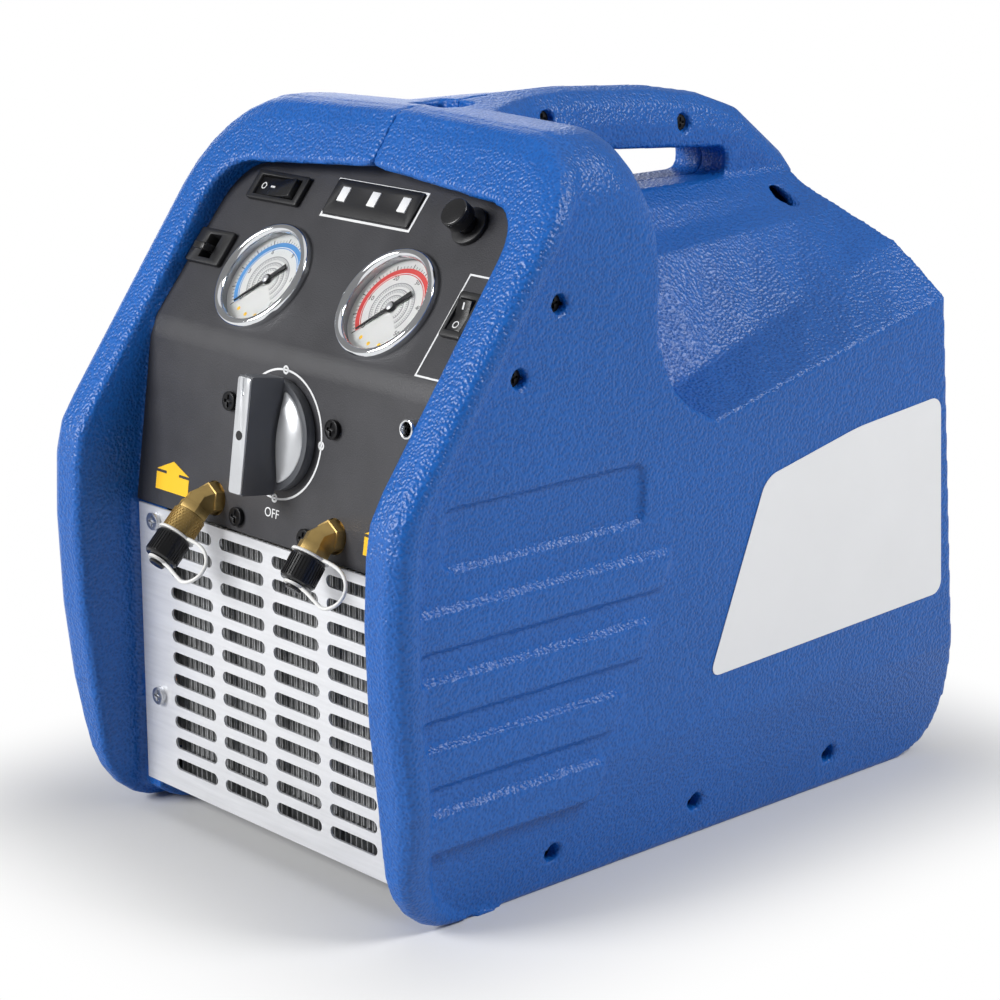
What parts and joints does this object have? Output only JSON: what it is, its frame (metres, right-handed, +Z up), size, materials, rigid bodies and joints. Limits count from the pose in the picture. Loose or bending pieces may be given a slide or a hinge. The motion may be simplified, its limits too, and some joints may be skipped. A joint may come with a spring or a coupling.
{
  "type": "refrigerant recovery machine",
  "caption": "Portable refrigerant recovery machine: moulded two-half housing with carry handle, slanted gauge and selector panel, capped hose ports and a slotted grille over the condenser",
  "frame": {"origin": "centre of the bounding box on the ground plane", "axes": "+Z up, -Y towards the control panel, +X to the right seen from the front"},
  "size_m": [0.262, 0.3952, 0.356],
  "materials": {
    "housing_blue": "moulded, pebbled",
    "tray_steel": "zinc plated",
    "panel_grey": "satin powder coat",
    "grille_sheet": "brushed sheet",
    "switch_black": "satin",
    "control_black": "semi gloss",
    "lamp_white": "translucent",
    "bezel_chrome": "polished",
    "dial_white": "printed",
    "needle_black": "matt",
    "lens_clear": "clear",
    "knob_silver": "satin",
    "brass": "machined",
    "tether_white": "soft",
    "screw_black": "black oxide",
    "coil_aluminium": "mill",
    "pipe_copper": "bare copper",
    "motor_paint": "painted",
    "mount_rubber": "matt"
  },
  "bodies": {
    "housing": {"left_shell": "housing_blue", "right_shell": "housing_blue", "base_tray": "tray_steel", "control_panel": "panel_grey", "front_grille": "grille_sheet", "power_switch_body": "switch_black", "breaker_body": "switch_black", "indicator_plate": "switch_black", "indicator_lenses": "lamp_white", "start_collar": "switch_black", "mode_switch_body": "switch_black", "low_gauge_case": "tray_steel", "low_gauge_bezel": "bezel_chrome", "low_gauge_dial": "dial_white", "low_gauge_lens": "lens_clear", "high_gauge_case": "tray_steel", "high_gauge_bezel": "bezel_chrome", "high_gauge_dial": "dial_white", "high_gauge_lens": "lens_clear", "valve_manifold": "brass", "pressure_switch": "switch_black", "inlet_elbow": "brass", "inlet_filter": "brass", "inlet_tether": "tether_white", "outlet_elbow": "brass", "outlet_tether": "tether_white", "vent_stub": "tray_steel", "panel_screws": "screw_black", "grille_screws": "tray_steel", "hood_screws": "screw_black", "base_screws": "screw_black", "handle_screws": "screw_black", "condenser_fins": "coil_aluminium", "condenser_tubes": "pipe_copper", "fan_shroud": "switch_black", "fan_motor": "tray_steel", "crankcase": "coil_aluminium", "cylinder_heads": "coil_aluminium", "drive_motor": "motor_paint", "compressor_mounts": "mount_rubber", "run_capacitor": "tether_white", "suction_pipe": "pipe_copper", "discharge_pipe": "pipe_copper", "liquid_pipe": "pipe_copper", "power_inlet": "switch_black", "inlet_pins": "tray_steel"},
    "power_rocker_body": {"power_rocker": "control_black"},
    "mode_rocker_body": {"mode_rocker": "control_black"},
    "breaker_paddle": {"breaker_toggle": "control_black"},
    "start_plunger": {"start_button": "control_black"},
    "selector": {"selector_knob": "control_black", "selector_face": "knob_silver", "selector_inlays": "bezel_chrome"},
    "low_needle": {"low_gauge_pointer": "needle_black"},
    "high_needle": {"high_gauge_pointer": "needle_black"},
    "inlet_cover": {"inlet_cap": "control_black"},
    "outlet_cover": {"outlet_cap": "control_black"},
    "fan": {"fan_blade": "switch_black"}
  },
  "joints": [
    {"name": "power_rock", "type": "hinge", "parent": "housing", "child": "power_rocker_body", "pos_m": [-0.069, -0.09538, 0.30864], "axis": [0, 0.6293, 0.7771], "range_deg": [0, 16]},
    {"name": "mode_rock", "type": "hinge", "parent": "housing", "child": "mode_rocker_body", "pos_m": [0.095, -0.12338, 0.27406], "axis": [-1, 0, 0], "range_deg": [0, 16]},
    {"name": "breaker_swing", "type": "hinge", "parent": "housing", "child": "breaker_paddle", "pos_m": [-0.093, -0.11742, 0.27824], "axis": [1, 0, 0], "range_deg": [-28, 0]},
    {"name": "start_press", "type": "slide", "parent": "housing", "child": "start_plunger", "axis": [0, 0.7771, -0.6293], "range_m": [0, 0.004], "stiffness_N_per_m": 400, "springref_m": -0.0015},
    {"name": "selector_turn", "type": "hinge", "parent": "housing", "child": "selector", "pos_m": [0, -0.15308, 0.2095], "axis": [0, -0.9903, 0.1392], "range_deg": [-90, 180]},
    {"name": "low_needle_turn", "type": "hinge", "parent": "housing", "child": "low_needle", "pos_m": [-0.0454, -0.12386, 0.27187], "axis": [0, -0.7771, 0.6293], "range_deg": [-270, 0]},
    {"name": "high_needle_turn", "type": "hinge", "parent": "housing", "child": "high_needle", "pos_m": [0.0454, -0.12386, 0.27187], "axis": [0, -0.7771, 0.6293], "range_deg": [-270, 0]},
    {"name": "inlet_cap_turn", "type": "hinge", "parent": "housing", "child": "inlet_cover", "pos_m": [-0.045, -0.18206, 0.15637], "axis": [0, -0.7071, -0.7071], "continuous": true},
    {"name": "outlet_cap_turn", "type": "hinge", "parent": "housing", "child": "outlet_cover", "pos_m": [0.045, -0.17296, 0.16364], "axis": [0, -0.6157, -0.788], "continuous": true},
    {"name": "fan_spin", "type": "hinge", "parent": "housing", "child": "fan", "pos_m": [0, -0.12318, 0.095], "axis": [0, 1, 0], "continuous": true}
  ]
}
